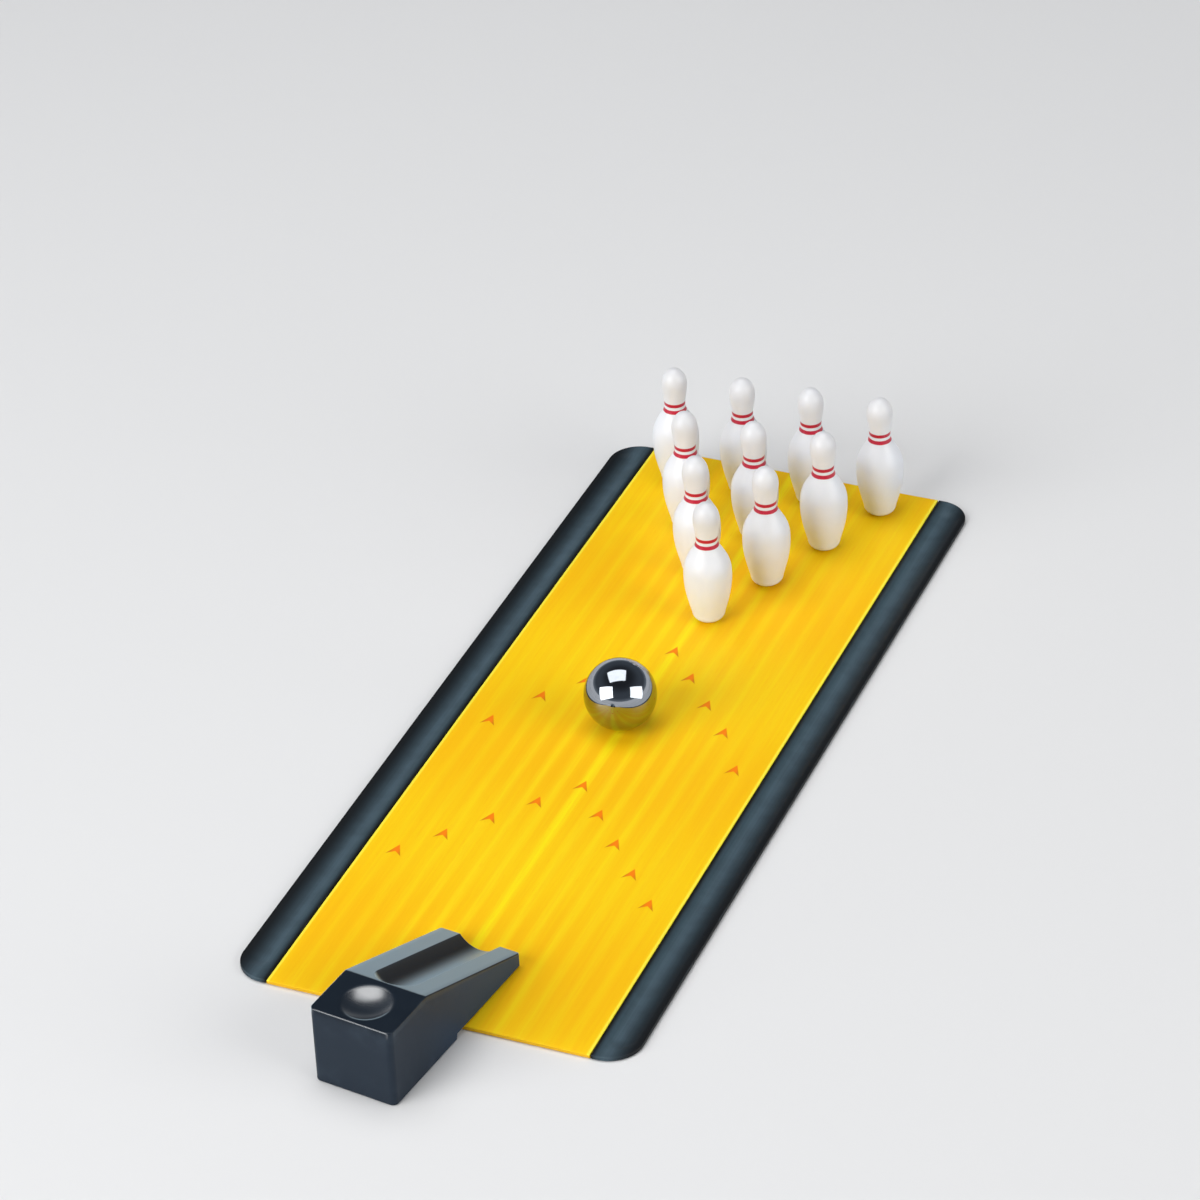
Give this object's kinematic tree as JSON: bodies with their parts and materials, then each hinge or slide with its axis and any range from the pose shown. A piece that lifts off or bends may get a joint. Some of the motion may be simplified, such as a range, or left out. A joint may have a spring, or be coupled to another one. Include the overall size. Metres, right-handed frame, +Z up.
{
  "type": "tabletop bowling set",
  "caption": "Tabletop bowling set: flat lane with side gutters, free-standing pins in a triangle, a steel ball and a sloped launching ramp.",
  "frame": {"origin": "middle of the lane's underside, on the table", "axes": "+Y down the lane from the ramp to the pins, +X to the right of a player behind the ramp, +Z up"},
  "size_m": [0.11, 0.3004, 0.0395],
  "materials": {
    "lane": "satin",
    "gutter": "satin",
    "ball": "polished",
    "ramp": "gloss",
    "pin": "satin"
  },
  "bodies": {
    "lane": {"lane_deck": "lane", "gutter_left": "gutter", "gutter_right": "gutter"},
    "ball": {"ball": "ball"},
    "ramp": {"ramp": "ramp"},
    "pin_1": {"pin_1": "pin"},
    "pin_2": {"pin_2": "pin"},
    "pin_3": {"pin_3": "pin"},
    "pin_4": {"pin_4": "pin"},
    "pin_5": {"pin_5": "pin"},
    "pin_6": {"pin_6": "pin"},
    "pin_7": {"pin_7": "pin"},
    "pin_8": {"pin_8": "pin"},
    "pin_9": {"pin_9": "pin"},
    "pin_10": {"pin_10": "pin"}
  },
  "joints": [
    {"name": "ball_roll", "type": "slide", "parent": "lane", "child": "ball", "axis": [0, 1, 0], "range_m": [-0.094, 0.0395]},
    {"name": "ramp_aim", "type": "hinge", "parent": "lane", "child": "ramp", "pos_m": [-0.004, -0.157, 0], "axis": [0, 0, 1], "range_deg": [-6.5, 21.5]},
    {"name": "pin_1_tip", "type": "hinge", "parent": "lane", "child": "pin_1", "pos_m": [0.00288, 0.05986, 0.0015], "axis": [-0.9984, -0.0558, 0], "range_deg": [0, 43]},
    {"name": "pin_2_tip", "type": "hinge", "parent": "lane", "child": "pin_2", "pos_m": [-0.00862, 0.08115, 0.0015], "axis": [-0.9984, -0.0558, 0], "range_deg": [0, 43]},
    {"name": "pin_3_tip", "type": "hinge", "parent": "lane", "child": "pin_3", "pos_m": [0.01194, 0.0823, 0.0015], "axis": [-0.9984, -0.0558, 0], "range_deg": [0, 43]},
    {"name": "pin_4_tip", "type": "hinge", "parent": "lane", "child": "pin_4", "pos_m": [-0.02013, 0.10244, 0.0015], "axis": [-0.9984, -0.0558, 0], "range_deg": [0, 43]},
    {"name": "pin_5_tip", "type": "hinge", "parent": "lane", "child": "pin_5", "pos_m": [0.00044, 0.10359, 0.0015], "axis": [-0.9984, -0.0558, 0], "range_deg": [0, 43]},
    {"name": "pin_6_tip", "type": "hinge", "parent": "lane", "child": "pin_6", "pos_m": [0.02101, 0.10474, 0.0015], "axis": [-0.9984, -0.0558, 0], "range_deg": [0, 43]},
    {"name": "pin_7_tip", "type": "hinge", "parent": "lane", "child": "pin_7", "pos_m": [-0.03164, 0.12373, 0.0015], "axis": [-0.9984, -0.0558, 0], "range_deg": [0, 78]},
    {"name": "pin_8_tip", "type": "hinge", "parent": "lane", "child": "pin_8", "pos_m": [-0.01107, 0.12488, 0.0015], "axis": [-0.9984, -0.0558, 0], "range_deg": [0, 78]},
    {"name": "pin_9_tip", "type": "hinge", "parent": "lane", "child": "pin_9", "pos_m": [0.0095, 0.12603, 0.0015], "axis": [-0.9984, -0.0558, 0], "range_deg": [0, 78]},
    {"name": "pin_10_tip", "type": "hinge", "parent": "lane", "child": "pin_10", "pos_m": [0.03007, 0.12718, 0.0015], "axis": [-0.9984, -0.0558, 0], "range_deg": [0, 78]}
  ]
}
